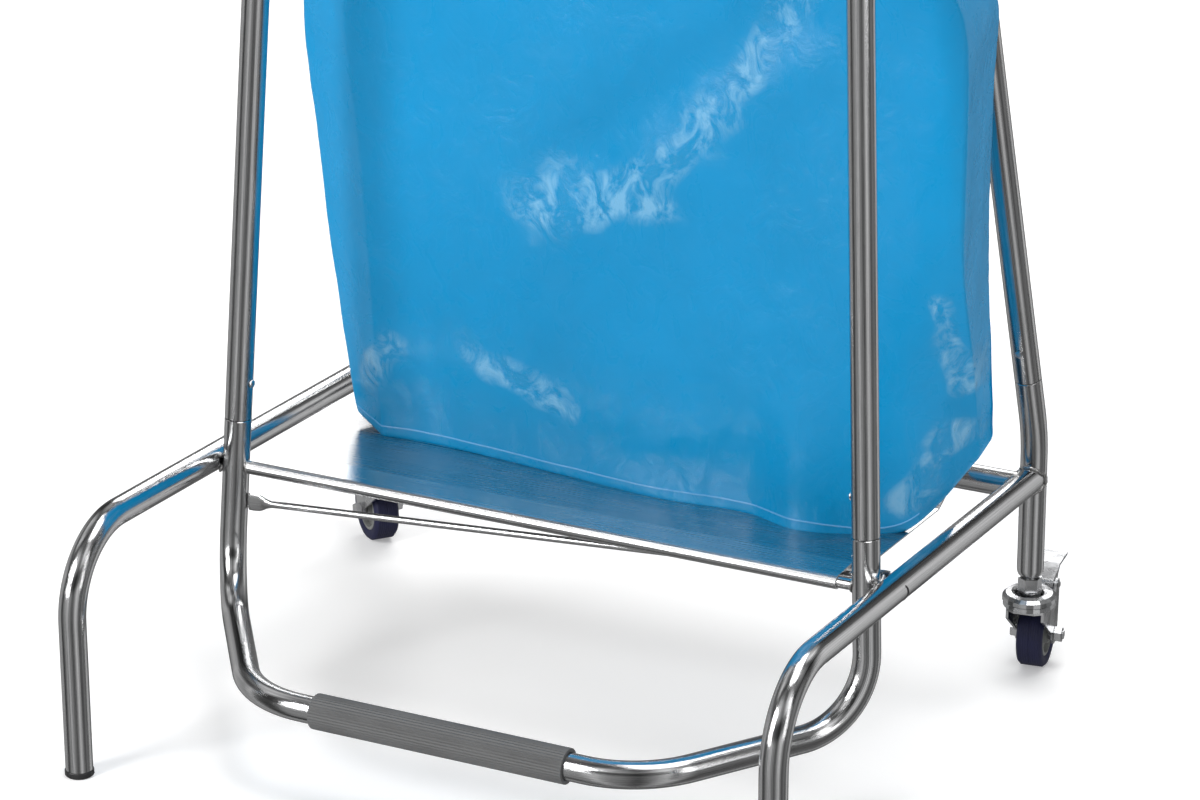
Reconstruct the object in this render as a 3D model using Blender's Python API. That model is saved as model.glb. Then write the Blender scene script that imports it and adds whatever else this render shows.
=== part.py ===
"""Linen trolley: a chrome tube A-frame on two feet and two braked casters, with a tray and a film bag.

Metres, +Z up. +X is the trolley's right seen from its front, +Y goes to the caster end.
Every sub-part is laid out from the floor midway between the front uprights, and finish() then
moves it so that the origin is the centre of the left foot cap's underside.
"""
import math

import bmesh
import bpy
from mathutils import Matrix, Vector

# ---- driving dimensions -------------------------------------------------------------------------
TUBE_R = 0.0125            # 25 mm frame tube
TUBE_WALL = 0.0015
GAP = 0.0003               # clearance left between neighbouring pieces
WELD_GAP = 0.0013          # clearance at a shaped tube end, whose tube meets the other at a slight slope
BEND_STEP = math.radians(14.0)
ROUND = 16                 # facets round a frame tube; its bore has half as many
BORE_FIT_R = (TUBE_R - TUBE_WALL) * math.cos(math.pi / (ROUND // 2)) - GAP

RAIL_X = 0.342             # side rail centre line, each side
LEG_Y = -0.245             # front leg
POST_Y = 0.326             # rear post and caster stem
RAIL_Z = 0.2176            # rail centre height at y = 0
RAIL_FALL = 0.048          # rail drop per metre towards the casters
RAIL_BEND = 0.077
CAP_RIM = 0.006            # the foot cap's visible rim, and the top of its plug inside the leg
CAP_PLUG = 0.024

UPRIGHT_X = RAIL_X - 2 * TUBE_R - GAP
LEAN_IN = 0.0512           # uprights lean to the middle, per metre of height
FRONT_LEAN = 0.0504        # front frame leans back
REAR_LEAN = 0.2325         # rear frame leans forward
REAR_KNEE_Z = 0.245        # where the rear post starts to lean
REAR_KNEE_BEND = 0.20
FRONT_SEAM_Z = 0.262       # joint between the welded stub and the upper frame
REAR_SEAM_Z = 0.304
FRONT_SCREW_Z = FRONT_SEAM_Z + 0.035
REAR_SCREW_Z = REAR_SEAM_Z + 0.033
SCREW_SPAN = 0.006         # half the short length of tube kept round each screw
SPIGOT_BELOW = 0.030       # how far each inner sleeve reaches below and above its seam
SPIGOT_ABOVE = 0.055
TOP_Z = 0.890              # centre height of both top bars
TOP_BEND = 0.070
POST_END_Z = 0.105

LOOP_FRONT_Y = -0.193      # foot loop's front run
LOOP_FRONT_Z = 0.086
LOOP_CORNER_X = 0.192
LOOP_KNEE_Z = 0.090
LOOP_KNEE_BEND = 0.068
LOOP_CORNER_BEND = 0.100
GRIP_LENGTH = 0.250
GRIP_R = 0.0162
GRIP_RIBS = 36

ROD_R = 0.005              # tray front rod
ROD_Z = 0.215
BRACE_R = 0.0033           # thin rod from the left upright to the right rail
BRACE_LEFT_Z = 0.180
BRACE_RIGHT_YZ = (0.024, 0.2155)
CROSS_Y = 0.298            # rear cross tube

SHEET = 0.0012
TRAY_LEFT = -0.291
TRAY_RIGHT = 0.290
TRAY_LIP_LEFT = -0.303
TRAY_BASE_FRONT = (0.034, 0.2060)
TRAY_BASE_REAR = (0.226, 0.1980)

WHEEL_R = 0.0325
WHEEL_W = 0.025
TRAIL = 0.032
FORK_IN = 0.0156
FORK_SHEET = 0.0025
CROWN_Z = 0.0745
AXLE_R = 0.004
STEM_R = 0.0058
LOCK_NUT_FLATS = 0.0195
AXLE_NUT_FLATS = 0.013
PIN_R = 0.0025             # the brake lever's pin
PEDAL_PIVOT = (0.040, 0.080)
CASTER_HEADING = {"left": 50.0, "right": 8.0}
DRILL_REACH = 0.030        # half length of a hole's cutter

RING_R = 0.005             # bag ring, standing on posts above the two top bars
RING_Z = 0.945
RING_HALF_X = 0.285
RING_CORNER = 0.040
RING_POST_X = 0.200
BAG_WALL = 0.0015
CUFF_OUT = 0.008           # the turned-out mouth stands off the ring's centre line, and hangs below it
CUFF_DROP = 0.034
SIDES = (("left", -1), ("right", 1))
TO_LEFT_FOOT = Matrix.Translation((RAIL_X, -LEG_Y, 0.0))

MATERIALS = {
    "chrome": ((0.72, 0.73, 0.75), 1.0, 0.12),
    "stainless": ((0.62, 0.63, 0.64), 1.0, 0.30),
    "zinc": ((0.66, 0.67, 0.68), 1.0, 0.32),
    "grip": ((0.24, 0.25, 0.26), 0.0, 0.75),
    "black": ((0.02, 0.02, 0.02), 0.0, 0.6),
    "bag": ((0.0, 0.33, 0.62), 0.0, 0.25),
    "tyre": ((0.02, 0.03, 0.11), 0.0, 0.7),
    "hub": ((0.30, 0.31, 0.30), 0.0, 0.55),
}


# ---- lines of the frame -------------------------------------------------------------------------
def rail_z(y):
    return RAIL_Z - RAIL_FALL * y


def front_line(side, z):
    rise = z - RAIL_Z
    return Vector((side * (UPRIGHT_X - LEAN_IN * rise), FRONT_LEAN * rise, z))


def rear_line(side, z):
    rise = z - REAR_KNEE_Z
    return Vector((side * (RAIL_X - LEAN_IN * rise), POST_Y - REAR_LEAN * rise, z))


# ---- mesh helpers -------------------------------------------------------------------------------
def make_material(piece, look):
    colour, metallic, roughness = MATERIALS[look]
    made = bpy.data.materials.new(piece)
    made.use_nodes = True
    shader = made.node_tree.nodes["Principled BSDF"]
    shader.inputs["Base Color"].default_value = (*colour, 1.0)
    shader.inputs["Metallic"].default_value = metallic
    shader.inputs["Roughness"].default_value = roughness
    return made


def finish(name, bm, look, matrix=Matrix.Identity(4), sharp=35.0):
    """Turns a bmesh into a named, smooth-shaded object with its own material, in the trolley's frame."""
    bmesh.ops.recalc_face_normals(bm, faces=bm.faces)
    mesh = bpy.data.meshes.new(name)
    bm.to_mesh(mesh)
    bm.free()
    mesh.polygons.foreach_set("use_smooth", [True] * len(mesh.polygons))
    mesh.set_sharp_from_angle(angle=math.radians(sharp))
    piece = bpy.data.objects.new(name, mesh)
    mesh.materials.append(make_material(name, look))
    piece.matrix_world = TO_LEFT_FOOT @ matrix
    bpy.context.scene.collection.objects.link(piece)
    return piece


def boolean(target, tool, operation):
    """Adds an exact Boolean and hides its tool."""
    tool.hide_render = True
    tool.display_type = "WIRE"
    step = target.modifiers.new(operation.lower(), "BOOLEAN")
    step.operation = operation
    step.solver = "EXACT"
    step.object = tool


def rounded_path(corners, bends):
    """Corner points joined by straight runs, with an arc of the given radius at each inner corner."""
    points = [Vector(corners[0])]
    for index, radius in enumerate(bends, start=1):
        corner = Vector(corners[index])
        back = (Vector(corners[index - 1]) - corner).normalized()
        ahead = (Vector(corners[index + 1]) - corner).normalized()
        opening = back.angle(ahead)
        centre = corner + (back + ahead).normalized() * (radius / math.sin(opening / 2))
        reach = radius / math.tan(opening / 2)
        start = corner + back * reach - centre
        turn = math.pi - opening
        axis = back.cross(start).normalized()
        steps = max(2, round(turn / BEND_STEP))
        for step in range(steps + 1):
            points.append(centre + Matrix.Rotation(turn * step / steps, 3, axis) @ start)
    points.append(Vector(corners[-1]))
    return points


def path_frames(points, reference):
    """A (tangent, first, second) frame at each point, carried along without twist."""
    count = len(points)
    legs = [(points[i + 1] - points[i]).normalized() for i in range(count - 1)]
    frames = []
    for i in range(count):
        tangent = (legs[max(i - 1, 0)] + legs[min(i, count - 2)]).normalized()
        previous = frames[-1][1] if frames else Vector(reference)
        first = (previous - tangent * previous.dot(tangent)).normalized()
        frames.append((tangent, first, tangent.cross(first)))
    return frames


def ring_vertices(bm, centre, frame, half_first, half_second, count):
    made = []
    for k in range(count):
        angle = math.tau * k / count
        offset = frame[1] * (half_first * math.cos(angle)) + frame[2] * (half_second * math.sin(angle))
        made.append(bm.verts.new(centre + offset))
    return made


def bridge(bm, ring_a, ring_b):
    count = len(ring_a)
    for k in range(count):
        following = (k + 1) % count
        bm.faces.new((ring_a[k], ring_a[following], ring_b[following], ring_b[k]))


def shape_end(ring, centre, tangent, lateral, other_radius):
    """Moves an end ring along the tube so that it follows the round tube it is welded to."""
    for vertex in ring:
        offset = (vertex.co - centre).dot(lateral)
        vertex.co += tangent * (other_radius - math.sqrt(other_radius ** 2 - offset ** 2))


def tube(name, points, reference=(1, 0, 0), radii=None, saddles=(None, None)):
    """A bent chrome tube. A saddle is (lateral direction, radius of the tube it meets)."""
    bm = bmesh.new()
    frames = path_frames(points, reference)
    outer, inner = [], []
    for point, frame, radius in zip(points, frames, radii or [TUBE_R] * len(points)):
        bore = radius - TUBE_WALL
        outer.append(ring_vertices(bm, point, frame, radius, radius, ROUND))
        inner.append(ring_vertices(bm, point, frame, bore, bore, ROUND // 2))
    for rings in (outer, inner):
        for a, b in zip(rings[:-1], rings[1:]):
            bridge(bm, a, b)
    for end in (0, -1):
        for k in range(ROUND // 2):
            following = (k + 1) % (ROUND // 2)
            bm.faces.new((inner[end][k], inner[end][following], outer[end][2 * following],
                          outer[end][2 * k + 1], outer[end][2 * k]))
        if saddles[end]:
            lateral, other = saddles[end]
            outward = frames[end][0] * (-1 if end == 0 else 1)
            shape_end(outer[end] + inner[end], points[end], outward, Vector(lateral), other)
    return finish(name, bm, "chrome")


def rod(name, points, look, radius, facets=12, reference=(0, 0, 1), halves=None):
    """A solid round bar; halves gives each ring its own two half widths."""
    bm = bmesh.new()
    frames = path_frames(points, reference)
    halves = halves or [(radius, radius)] * len(points)
    rings = [ring_vertices(bm, p, f, a, b, facets) for p, f, (a, b) in zip(points, frames, halves)]
    for a, b in zip(rings[:-1], rings[1:]):
        bridge(bm, a, b)
    bm.faces.new(rings[0])
    bm.faces.new(rings[-1])
    return finish(name, bm, look)


def lathe(bm, profile, facets, axis="Z"):
    """Revolves a closed profile of (radius, height) points. A zero radius is a pole."""
    rings = []
    for radius, height in profile:
        ring = []
        for k in range(facets if radius > 0 else 1):
            angle = math.tau * (k + 0.5) / facets
            x, y = radius * math.cos(angle), radius * math.sin(angle)
            place = (x, y, height) if axis == "Z" else (height, x, y)
            ring.append(bm.verts.new(place))
        rings.append(ring)
    for index, ring in enumerate(rings):
        following = rings[(index + 1) % len(rings)]
        if len(ring) == 1 and len(following) == 1:
            continue
        for k in range(facets):
            near = [ring[k % len(ring)], ring[(k + 1) % facets % len(ring)]]
            far = [following[(k + 1) % facets % len(following)], following[k % len(following)]]
            corners = list(dict.fromkeys(near + far))
            bm.faces.new(corners)


def turned(name, profile, look, facets=24, axis="Z", matrix=Matrix.Identity(4), sharp=35.0):
    bm = bmesh.new()
    lathe(bm, profile, facets, axis)
    return finish(name, bm, look, matrix, sharp)


def drill(name, radius, low, high, facets, axis, matrix):
    """A plain cylinder to cut a hole with."""
    profile = ((0.0, low), (radius, low), (radius, high), (0.0, high))
    return turned(name, profile, "zinc", facets, axis, matrix)


def plate(bm, outline, low, high, axis="X"):
    """Extrudes an outline; with axis X its points are (y, z), with axis Z they are (x, y)."""
    faces = []
    for level in (low, high):
        places = [(level, a, b) if axis == "X" else (a, b, level) for a, b in outline]
        faces.append([bm.verts.new(place) for place in places])
    bm.faces.new(faces[0])
    bm.faces.new(faces[1])
    bridge(bm, faces[0], faces[1])


def arc(centre, radius, start, end, steps):
    """Points on an arc between two angles in degrees."""
    points = []
    for step in range(steps + 1):
        angle = math.radians(start + (end - start) * step / steps)
        points.append((centre[0] + radius * math.cos(angle), centre[1] + radius * math.sin(angle)))
    return points


def hexagon(across_flats):
    return arc((0, 0), across_flats / math.sqrt(3), 30, 330, 5)


# ---- welded frame -------------------------------------------------------------------------------
def build_side_rails():
    meet = TUBE_R + WELD_GAP
    rear_end = POST_Y - meet - TUBE_R * RAIL_FALL
    for name, side in SIDES:
        x = side * RAIL_X
        corners = ((x, LEG_Y, CAP_RIM + GAP), (x, LEG_Y, rail_z(LEG_Y)), (x, rear_end, rail_z(rear_end)))
        tube(f"{name}_side_rail", rounded_path(corners, (RAIL_BEND,)), saddles=(None, ((1, 0, 0), meet)))
        cap = ((0.0, 0.0), (0.0122, 0.0), (0.0134, 0.0012), (0.0134, 0.0052), (0.0128, CAP_RIM),
               (0.0101, CAP_RIM), (0.0098, CAP_PLUG), (0.0, CAP_PLUG))
        turned(f"{name}_foot_cap", cap, "black", 20, matrix=Matrix.Translation((x, LEG_Y, 0)))


def build_foot_loop():
    half = []
    for side in (-1, 1):
        corner = Vector((side * LOOP_CORNER_X, LOOP_FRONT_Y, LOOP_FRONT_Z))
        half.append([front_line(side, FRONT_SEAM_Z), front_line(side, LOOP_KNEE_Z), corner])
    corners = half[0] + half[1][::-1]
    bends = (LOOP_KNEE_BEND, LOOP_CORNER_BEND, LOOP_CORNER_BEND, LOOP_KNEE_BEND)
    tube("foot_loop", rounded_path(corners, bends))
    build_grip()


def build_grip():
    """Ribbed sleeve on the loop's front run."""
    bm = bmesh.new()
    frame = (Vector((1, 0, 0)), Vector((0, 1, 0)), Vector((0, 0, 1)))
    rib_depth = 0.0007
    outer, inner = [], []
    for x in (-GRIP_LENGTH / 2, GRIP_LENGTH / 2):
        centre = Vector((x, LOOP_FRONT_Y, LOOP_FRONT_Z))
        ring = ring_vertices(bm, centre, frame, GRIP_R, GRIP_R, 2 * GRIP_RIBS)
        for vertex in ring[1::2]:
            vertex.co += (centre - vertex.co).normalized() * rib_depth
        outer.append(ring)
        bore = TUBE_R + GAP
        inner.append(ring_vertices(bm, centre, frame, bore, bore, GRIP_RIBS))
    bridge(bm, *outer)
    bridge(bm, *inner)
    for end in (0, 1):
        for k in range(GRIP_RIBS):
            following = (k + 1) % GRIP_RIBS
            bm.faces.new((inner[end][k], inner[end][following], outer[end][2 * following],
                          outer[end][2 * k + 1], outer[end][2 * k]))
    finish("foot_loop_grip", bm, "grip", sharp=20.0)


def build_rear_posts():
    """Each post leans forward from its knee, and its lower end is crimped in over the caster socket."""
    for name, side in SIDES:
        crimp = ((POST_END_Z, TUBE_R - 0.0016), (POST_END_Z + 0.0025, TUBE_R - 0.0006),
                 (POST_END_Z + 0.006, TUBE_R))
        corners = ((side * RAIL_X, POST_Y, POST_END_Z + 0.010), (side * RAIL_X, POST_Y, REAR_KNEE_Z),
                   rear_line(side, REAR_SEAM_Z))
        bend = rounded_path(corners, (REAR_KNEE_BEND,))
        points = [Vector((side * RAIL_X, POST_Y, z)) for z, _ in crimp] + bend
        radii = [radius for _, radius in crimp] + [TUBE_R] * len(bend)
        tube(f"{name}_rear_post", points, radii=radii)


def build_cross_members():
    meet = TUBE_R + WELD_GAP
    ends = [Vector((x, CROSS_Y, rail_z(CROSS_Y))) for x in (meet - RAIL_X, RAIL_X - meet)]
    tube("rear_cross_tube", ends, reference=(0, 0, 1), saddles=(((0, 0, 1), meet),) * 2)
    upright_side = front_line(1, ROD_Z).x - TUBE_R - GAP
    rod("tray_front_rod", [Vector((-upright_side, 0, ROD_Z)), Vector((upright_side, 0, ROD_Z))],
        "chrome", ROD_R, facets=16)
    build_brace()


def build_brace():
    """Thin diagonal rod under the tray, with both ends pressed flat where they are welded."""
    flat, thin = 0.0085, 0.0016
    nearest = front_line(1, BRACE_LEFT_Z + flat).x
    left = Vector((TUBE_R + 2 * GAP - nearest, 0.0, BRACE_LEFT_Z))
    right = Vector((RAIL_X - TUBE_R - GAP, *BRACE_RIGHT_YZ))
    along = (right - left).normalized()
    stations = ((0.0, flat, thin), (0.012, flat, thin), (0.018, 0.0055, 0.0026), (0.026, BRACE_R, BRACE_R))
    points = [left + along * d for d, _, _ in stations] + [right - along * d for d, _, _ in stations[::-1]]
    halves = [(a, b) for _, a, b in stations]
    rod("brace_rod", points, "chrome", BRACE_R, facets=12, halves=halves + halves[::-1])


# ---- tray ---------------------------------------------------------------------------------------
def tray_top(y):
    """Height of the tray's base at depth y."""
    (y0, z0), (y1, z1) = TRAY_BASE_FRONT, TRAY_BASE_REAR
    return z0 + (z1 - z0) * (y - y0) / (y1 - y0) + SHEET / 2


def build_tray():
    """One bent sheet: curled round the front rod, stepped down to the base, hooked over the rear tube."""
    curl = arc((0, ROD_Z), ROD_R + GAP + SHEET / 2, -30, -270, 12)
    strip = ((0.030, curl[-1][1]), (0.033, curl[-1][1] - 0.002))
    hook = arc((CROSS_Y, rail_z(CROSS_Y)), TUBE_R + GAP + SHEET / 2, 90, -12, 6)
    lip_count = len(curl) + len(strip)
    line = [*curl, *strip, TRAY_BASE_FRONT, TRAY_BASE_REAR, (0.268, hook[0][1] + 0.0006), *hook]
    bm = bmesh.new()
    sections = []
    for index, point in enumerate(line):
        before = Vector(line[max(index - 1, 0)])
        after = Vector(line[min(index + 1, len(line) - 1)])
        here = Vector(point)
        legs = [leg.normalized() for leg in (here - before, after - here) if leg.length > 0]
        along = (legs[0] + legs[-1]).normalized()
        normal = Vector((-along.y, along.x)) * (SHEET / 2 / max(along.dot(legs[0]), 0.5))
        left = TRAY_LIP_LEFT if index < lip_count else TRAY_LEFT
        corners = []
        for x, offset in ((left, normal), (TRAY_RIGHT, normal), (TRAY_RIGHT, -normal), (left, -normal)):
            corners.append(bm.verts.new((x, here.x + offset.x, here.y + offset.y)))
        sections.append(corners)
    for a, b in zip(sections[:-1], sections[1:]):
        bridge(bm, a, b)
    bm.faces.new(sections[0])
    bm.faces.new(sections[-1])
    finish("tray", bm, "stainless", sharp=30.0)


# ---- upper frames -------------------------------------------------------------------------------
def screw_places():
    """(name, upper frame, point on the tube's axis, outward direction) of the four joint screws."""
    for name, side in SIDES:
        inward = Vector((-side, 0, -LEAN_IN))
        yield f"{name}_front", "front_upper_frame", front_line(side, FRONT_SCREW_Z), inward
        forward = Vector((0, -1, -REAR_LEAN))
        yield f"{name}_rear", "rear_upper_frame", rear_line(side, REAR_SCREW_Z), forward


def upper_frame(name, line, seam_z, screw_z):
    """An inverted U, with short spans round each screw so that the hole stays clean."""
    def foot(side):
        return [line(side, z) for z in (seam_z + GAP, screw_z - SCREW_SPAN, screw_z + SCREW_SPAN)]
    left, right = foot(-1), foot(1)
    corners = (left[-1], line(-1, TOP_Z), line(1, TOP_Z), right[-1])
    path = rounded_path(corners, (TOP_BEND, TOP_BEND))
    tube(name, left[:-1] + path + right[-2::-1], reference=(0, 1, 0))


def build_upper_frames():
    upper_frame("front_upper_frame", front_line, FRONT_SEAM_Z, FRONT_SCREW_Z)
    upper_frame("rear_upper_frame", rear_line, REAR_SEAM_Z, REAR_SCREW_Z)
    for name, side in SIDES:
        for place, line, seam in (("front", front_line, FRONT_SEAM_Z), ("rear", rear_line, REAR_SEAM_Z)):
            ends = [line(side, seam - SPIGOT_BELOW), line(side, seam + SPIGOT_ABOVE)]
            rod(f"{name}_{place}_spigot", ends, "zinc", BORE_FIT_R, facets=16, reference=(1, 0, 0))
    build_joint_screws()


def build_joint_screws():
    head = TUBE_R + 0.0002
    profile = ((0.0, 0.0045), (0.0019, 0.0045), (0.0019, head), (0.0040, head),
               (0.0038, head + 0.0012), (0.0022, head + 0.0021), (0.0, head + 0.0022))
    for name, frame_name, centre, outward in screw_places():
        aim = Vector((0, 0, 1)).rotation_difference(outward.normalized()).to_matrix().to_4x4()
        matrix = Matrix.Translation(centre) @ aim
        turned(f"{name}_joint_screw", profile, "zinc", 12, matrix=matrix)
        hole = drill(f"{name}_screw_hole", 0.0023, 0.004, 0.016, 12, "Z", matrix)
        boolean(bpy.data.objects[frame_name], hole, "DIFFERENCE")
        boolean(bpy.data.objects[f"{name}_spigot"], hole, "DIFFERENCE")


# ---- casters ------------------------------------------------------------------------------------
def build_casters():
    for name, side in SIDES:
        stem = Matrix.Translation((side * RAIL_X, POST_Y, 0))
        head = stem @ Matrix.Rotation(math.radians(CASTER_HEADING[name]), 4, "Z")
        build_caster_mount(name, stem)
        build_fork(name, head)
        build_wheel(name, head @ Matrix.Translation((0, TRAIL, WHEEL_R)))
        build_brake(name, head @ Matrix.Translation((0, *PEDAL_PIVOT)))


def build_caster_mount(name, stem):
    """Pieces that stay with the post: socket, threaded stem, lock nut and the inner race."""
    low, high = POST_END_Z + 0.0065, POST_END_Z + 0.045
    bore = STEM_R + 0.0004
    socket = ((bore, low), (BORE_FIT_R, low), (BORE_FIT_R, high), (bore, high))
    turned(f"{name}_caster_socket", socket, "zinc", 16, matrix=stem)
    bolt = ((0.0, 0.0765), (STEM_R, 0.0765), (STEM_R, high - 0.004), (STEM_R - 0.0008, high - 0.002),
            (0.0, high - 0.002))
    turned(f"{name}_caster_stem", bolt, "zinc", 16, matrix=stem)
    race = ((bore, 0.0780), (0.0100, 0.0780), (0.0122, 0.0800), (0.0104, 0.0825), (0.0112, 0.0888),
            (bore, 0.0888))
    turned(f"{name}_caster_inner_race", race, "zinc", 20, matrix=stem)
    nut = bmesh.new()
    plate(nut, hexagon(LOCK_NUT_FLATS), 0.0892, 0.1020, axis="Z")
    piece = finish(f"{name}_caster_lock_nut", nut, "zinc", stem)
    boolean(piece, drill(f"{name}_nut_bore", bore, 0.080, 0.110, 16, "Z", stem), "DIFFERENCE")


def build_fork(name, head):
    """Pressed fork with ears for the brake pin, and the domed race cover that turns with it."""
    axle_z = WHEEL_R
    outline = [(-0.017, CROWN_Z), (-0.017, CROWN_Z - 0.010), (TRAIL - 0.0095, axle_z + 0.003),
               *arc((TRAIL, axle_z), 0.0095, 200, 340, 5), (TRAIL + 0.0110, axle_z + 0.014),
               *arc(PEDAL_PIVOT, 0.0060, -20, 150, 5), (0.028, CROWN_Z)]
    body = bmesh.new()
    plate(body, outline, FORK_IN, FORK_IN + FORK_SHEET)
    fork = finish(f"{name}_caster_fork", body, "zinc", head)
    other = bmesh.new()
    plate(other, outline, -FORK_IN - FORK_SHEET, -FORK_IN)
    boolean(fork, finish(f"{name}_fork_other_leg", other, "zinc", head), "UNION")
    crown = bmesh.new()
    reach = FORK_IN + FORK_SHEET - 0.0004
    crown_line = [(reach, 0.022), (-reach, 0.022), (-reach, -0.0166), (-0.010, -0.0215), (0.010, -0.0215),
                  (reach, -0.0166)]
    plate(crown, crown_line, CROWN_Z - 0.0024, CROWN_Z - 0.0001, axis="Z")
    boolean(fork, finish(f"{name}_fork_crown", crown, "zinc", head), "UNION")
    holes = (("stem", STEM_R + 0.0012, "Z", (0, 0, CROWN_Z)), ("axle", AXLE_R + GAP, "X", (0, TRAIL, axle_z)),
             ("pin", PIN_R + GAP, "X", (0, *PEDAL_PIVOT)))
    for label, radius, axis, place in holes:
        matrix = head @ Matrix.Translation(place)
        tool = drill(f"{name}_{label}_hole", radius, -DRILL_REACH, DRILL_REACH, 16, axis, matrix)
        boolean(fork, tool, "DIFFERENCE")
    cover = ((0.0232, CROWN_Z + GAP), (0.0248, CROWN_Z + GAP), (0.0240, 0.0784), (0.0256, 0.0800),
             (0.0252, 0.0838), (0.0220, 0.0866), (0.0172, 0.0876), (0.0140, 0.0862), (0.0132, 0.0826),
             (0.0150, 0.0840), (0.0176, 0.0858), (0.0212, 0.0850), (0.0238, 0.0820), (0.0226, 0.0786))
    turned(f"{name}_caster_race_cover", cover, "zinc", 24, matrix=head)
    build_balls(name, head)


def build_balls(name, head):
    """Swivel balls held in a thin cage."""
    count, ring_r, ball_r = 8, 0.0180, 0.0028
    level = CROWN_Z + ball_r + GAP
    cage = ((ring_r - 0.0012, level - 0.0006), (ring_r + 0.0012, level - 0.0006),
            (ring_r + 0.0012, level + 0.0006), (ring_r - 0.0012, level + 0.0006))
    piece = turned(f"{name}_caster_ball_cage", cage, "zinc", 20, matrix=head)
    balls = bmesh.new()
    for k in range(count):
        angle = math.tau * k / count
        place = Matrix.Translation((ring_r * math.cos(angle), ring_r * math.sin(angle), level))
        bmesh.ops.create_icosphere(balls, subdivisions=1, radius=ball_r, matrix=place)
    boolean(piece, finish(f"{name}_balls", balls, "zinc", head), "UNION")


def build_wheel(name, axle):
    half = WHEEL_W / 2
    bead = 0.0222
    one_side = ((bead, half - 0.0015), (bead + 0.004, half), (WHEEL_R - 0.003, half),
                (WHEEL_R, half - 0.0035))
    tread = [(radius, -x) for radius, x in one_side] + list(one_side[::-1])
    turned(f"{name}_tyre", tread, "tyre", 36, "X", axle)
    rim = bead - GAP
    bush = 0.0062
    web = half - 0.0055
    face_line = ((bush, half), (0.0095, half), (0.0105, web), (0.0175, web), (0.0190, half - 0.001),
                 (rim, half - 0.0015))
    hub = [(radius, -x) for radius, x in face_line] + list(face_line[::-1])
    turned(f"{name}_wheel_hub", hub, "hub", 28, "X", axle)
    sleeve_half = FORK_IN - GAP
    sleeve = ((AXLE_R + GAP, -sleeve_half), (bush - 0.00015, -sleeve_half), (bush - 0.00015, sleeve_half),
              (AXLE_R + GAP, sleeve_half))
    turned(f"{name}_axle_sleeve", sleeve, "zinc", 20, "X", axle)
    build_axle(name, axle)


def build_axle(name, axle):
    """Axle bolt through both fork legs, with its head to the left and its nut to the right."""
    face = FORK_IN + FORK_SHEET + GAP
    shank = ((0.0, -face - 0.001), (AXLE_R, -face - 0.001), (AXLE_R, face + 0.0085), (0.0, face + 0.0085))
    bolt = turned(f"{name}_axle_bolt", shank, "zinc", 16, "X", axle)
    head = bmesh.new()
    plate(head, hexagon(AXLE_NUT_FLATS), -face - 0.0053, -face)
    boolean(bolt, finish(f"{name}_axle_bolt_head", head, "zinc", axle), "UNION")
    body = bmesh.new()
    plate(body, hexagon(AXLE_NUT_FLATS), face, face + 0.0068)
    nut = finish(f"{name}_axle_nut", body, "zinc", axle)
    boolean(nut, drill(f"{name}_axle_nut_bore", AXLE_R + GAP, 0.0, 0.040, 16, "X", axle), "DIFFERENCE")


def build_brake(name, pivot):
    """Foot lever on a pin through the fork's ears: pressing its pad swings the shoe onto the tyre."""
    lever_half = FORK_IN - 0.0016
    outline = [*arc((0, 0), 0.0052, 200, 100, 4), (0.016, 0.0095), (0.022, 0.0120), (0.053, 0.0105),
               (0.053, 0.0080), (0.0235, 0.0092), (0.0165, 0.0040), (0.0115, -0.0060), (0.0090, -0.0160),
               (0.0040, -0.0152), (0.0036, -0.0060)]
    body = bmesh.new()
    plate(body, outline, -lever_half, lever_half)
    lever = finish(f"{name}_brake_pedal", body, "zinc", pivot)
    bore = drill(f"{name}_brake_bore", PIN_R + GAP, -DRILL_REACH, DRILL_REACH, 16, "X", pivot)
    boolean(lever, bore, "DIFFERENCE")
    end = FORK_IN + FORK_SHEET
    rivet_end = ((PIN_R, end + GAP), (0.0042, end + GAP), (0.0022, end + 0.0018), (0.0, end + 0.0018))
    pin = [(radius, -x) for radius, x in rivet_end[::-1]] + list(rivet_end)
    turned(f"{name}_brake_pin", pin, "zinc", 16, "X", pivot)


# ---- bag ----------------------------------------------------------------------------------------
def rounded_rectangle(half_x, low_y, high_y, corner, steps=4):
    """Points round a rectangle about the bag's centre line, with rounded corners."""
    points = []
    for cx, cy, start in ((half_x - corner, high_y - corner, 0), (corner - half_x, high_y - corner, 90),
                          (corner - half_x, low_y + corner, 180), (half_x - corner, low_y + corner, 270)):
        points += arc((cx, cy), corner, start, start + 90, steps)
    return points


def build_ring():
    """Rod ring that carries the bag's mouth, on four short posts."""
    front, rear = front_line(1, TOP_Z).y, rear_line(1, TOP_Z).y
    centres = [Vector((x, y, RING_Z)) for x, y in rounded_rectangle(RING_HALF_X, front, rear, RING_CORNER)]
    bm = bmesh.new()
    rings = []
    for index, centre in enumerate(centres):
        along = (centres[(index + 1) % len(centres)] - centres[index - 1]).normalized()
        frame = (along, Vector((0, 0, 1)), along.cross(Vector((0, 0, 1))))
        rings.append(ring_vertices(bm, centre, frame, RING_R, RING_R, 12))
    for index, ring in enumerate(rings):
        bridge(bm, ring, rings[(index + 1) % len(rings)])
    finish("bag_ring", bm, "chrome")
    low, high = TOP_Z + TUBE_R + GAP, RING_Z - RING_R - GAP
    for name, side in SIDES:
        for place, y in (("front", front), ("rear", rear)):
            x = side * RING_POST_X
            rod(f"{name}_{place}_ring_post", [Vector((x, y, low)), Vector((x, y, high))], "chrome", 0.004,
                reference=(1, 0, 0))


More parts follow.
